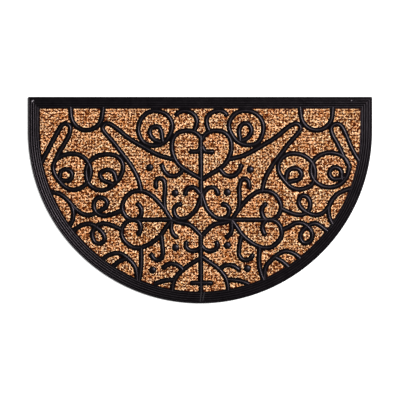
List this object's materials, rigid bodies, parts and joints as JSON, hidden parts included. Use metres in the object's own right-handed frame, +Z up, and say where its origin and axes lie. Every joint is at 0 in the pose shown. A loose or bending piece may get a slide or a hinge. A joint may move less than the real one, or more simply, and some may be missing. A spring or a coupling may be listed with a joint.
{
  "type": "half-round rubber and coir doormat",
  "caption": "Half-round doormat of black moulded rubber, with a ridged border and raised scrollwork bars over tan coir fibre, for wiping shoes at a door.",
  "frame": {"origin": "middle of the bounding box, on the underside", "axes": "+X along the straight edge, +Y towards the straight edge, +Z up out of the mat"},
  "size_m": [0.762, 0.4572, 0.01],
  "materials": {
    "rubber": "matte black moulded rubber with a soft sheen on its crests",
    "coir": "coarse matted coconut fibre in mixed tans and browns"
  },
  "bodies": {
    "root": {"rubber_moulding": "rubber", "coir_sheet": "coir"}
  },
  "joints": []
}
